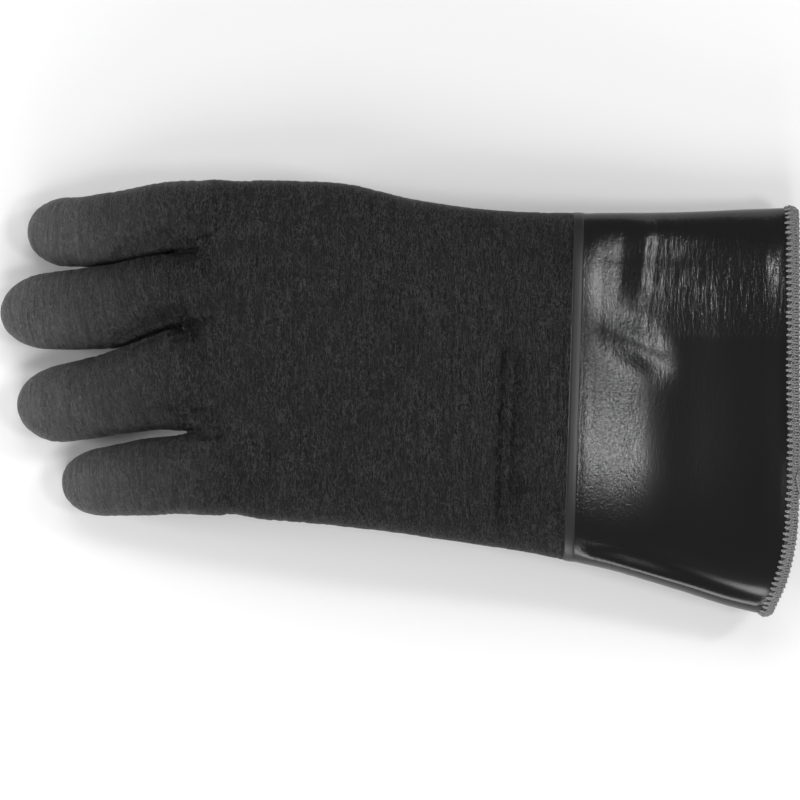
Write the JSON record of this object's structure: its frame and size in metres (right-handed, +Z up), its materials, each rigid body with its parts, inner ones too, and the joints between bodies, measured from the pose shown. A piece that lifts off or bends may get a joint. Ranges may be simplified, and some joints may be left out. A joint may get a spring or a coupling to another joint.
{
  "type": "heat resistant glove",
  "caption": "Left-hand heat resistant gauntlet glove: crinkle-coated hand with bending fingers and thumb, smooth flared cuff with a stitched hem, knit lining inside.",
  "frame": {"origin": "on the table, under the centre of the glove's outline", "axes": "+X from the fingertips to the cuff's mouth, +Y to the index finger's side, +Z up from the table, out of the back of the hand"},
  "size_m": [0.358, 0.1937, 0.0636],
  "materials": {
    "crinkle_rubber": "matt black with a fine crinkle",
    "smooth_rubber": "smooth black with a soft gloss",
    "knit_lining": "brushed jersey knit",
    "thread": "spun overlock thread"
  },
  "bodies": {
    "hand": {"hand_shell": "crinkle_rubber", "hand_lining": "knit_lining", "hand_seam_thumb_side": "thread", "hand_seam_outer_side": "thread"},
    "cuff": {"wrist_shell": "crinkle_rubber", "gauntlet_cuff": "smooth_rubber", "cuff_lap_band": "smooth_rubber", "cuff_lining": "knit_lining", "hem_overlock": "thread", "hem_thread_tail": "thread", "cuff_seam_thumb_side": "thread", "cuff_seam_outer_side": "thread"},
    "index_tip": {"index_tip_shell": "crinkle_rubber", "index_tip_lining": "knit_lining"},
    "index_base": {"index_base_shell": "crinkle_rubber", "index_base_lining": "knit_lining"},
    "middle_tip": {"middle_tip_shell": "crinkle_rubber", "middle_tip_lining": "knit_lining"},
    "middle_base": {"middle_base_shell": "crinkle_rubber", "middle_base_lining": "knit_lining"},
    "ring_tip": {"ring_tip_shell": "crinkle_rubber", "ring_tip_lining": "knit_lining"},
    "ring_base": {"ring_base_shell": "crinkle_rubber", "ring_base_lining": "knit_lining"},
    "little_tip": {"little_tip_shell": "crinkle_rubber", "little_tip_lining": "knit_lining"},
    "little_base": {"little_base_shell": "crinkle_rubber", "little_base_lining": "knit_lining"},
    "thumb_tip": {"thumb_tip_shell": "crinkle_rubber", "thumb_tip_lining": "knit_lining"},
    "thumb_base": {"thumb_base_shell": "crinkle_rubber", "thumb_base_lining": "knit_lining"}
  },
  "joints": [
    {"name": "wrist_bend", "type": "hinge", "parent": "hand", "child": "cuff", "pos_m": [0.0445, 0.00949, 0.04471], "axis": [0, 1, 0], "range_deg": [-20, 20], "stiffness_Nm_per_rad": 1.5},
    {"name": "index_base_bend", "type": "hinge", "parent": "hand", "child": "index_base", "pos_m": [-0.09924, 0.08088, 0.02987], "axis": [0.0899, -0.996, 0], "range_deg": [-10, 55], "stiffness_Nm_per_rad": 0.15},
    {"name": "index_middle_bend", "type": "hinge", "parent": "index_base", "child": "index_tip", "pos_m": [-0.12801, 0.07816, 0.02041], "axis": [0.0789, -0.9969, 0], "range_deg": [-10, 55], "stiffness_Nm_per_rad": 0.15},
    {"name": "middle_base_bend", "type": "hinge", "parent": "hand", "child": "middle_base", "pos_m": [-0.10106, 0.0457, 0.02982], "axis": [0.1437, -0.9896, 0], "range_deg": [-10, 55], "stiffness_Nm_per_rad": 0.15},
    {"name": "middle_middle_bend", "type": "hinge", "parent": "middle_base", "child": "middle_tip", "pos_m": [-0.13411, 0.04171, 0.01986], "axis": [0.0685, -0.9977, 0], "range_deg": [-10, 55], "stiffness_Nm_per_rad": 0.15},
    {"name": "ring_base_bend", "type": "hinge", "parent": "hand", "child": "ring_base", "pos_m": [-0.09985, 0.00647, 0.02994], "axis": [0.1616, -0.9869, 0], "range_deg": [-10, 55], "stiffness_Nm_per_rad": 0.15},
    {"name": "ring_middle_bend", "type": "hinge", "parent": "ring_base", "child": "ring_tip", "pos_m": [-0.13021, 0.00196, 0.0199], "axis": [0.1152, -0.9933, 0], "range_deg": [-10, 55], "stiffness_Nm_per_rad": 0.15},
    {"name": "little_base_bend", "type": "hinge", "parent": "hand", "child": "little_base", "pos_m": [-0.09749, -0.03258, 0.02826], "axis": [0.1079, -0.9942, 0], "range_deg": [-10, 55], "stiffness_Nm_per_rad": 0.15},
    {"name": "little_middle_bend", "type": "hinge", "parent": "little_base", "child": "little_tip", "pos_m": [-0.12044, -0.03464, 0.01775], "axis": [0.0597, -0.9982, 0], "range_deg": [-10, 55], "stiffness_Nm_per_rad": 0.15},
    {"name": "thumb_base_bend", "type": "hinge", "parent": "hand", "child": "thumb_base", "pos_m": [0.00293, 0.04739, 0.01413], "axis": [0, 0, -1], "range_deg": [0, 50], "stiffness_Nm_per_rad": 0.15},
    {"name": "thumb_middle_bend", "type": "hinge", "parent": "thumb_base", "child": "thumb_tip", "pos_m": [-0.02639, 0.03481, 0.01319], "axis": [0, 0, 1], "range_deg": [0, 40], "stiffness_Nm_per_rad": 0.15}
  ]
}
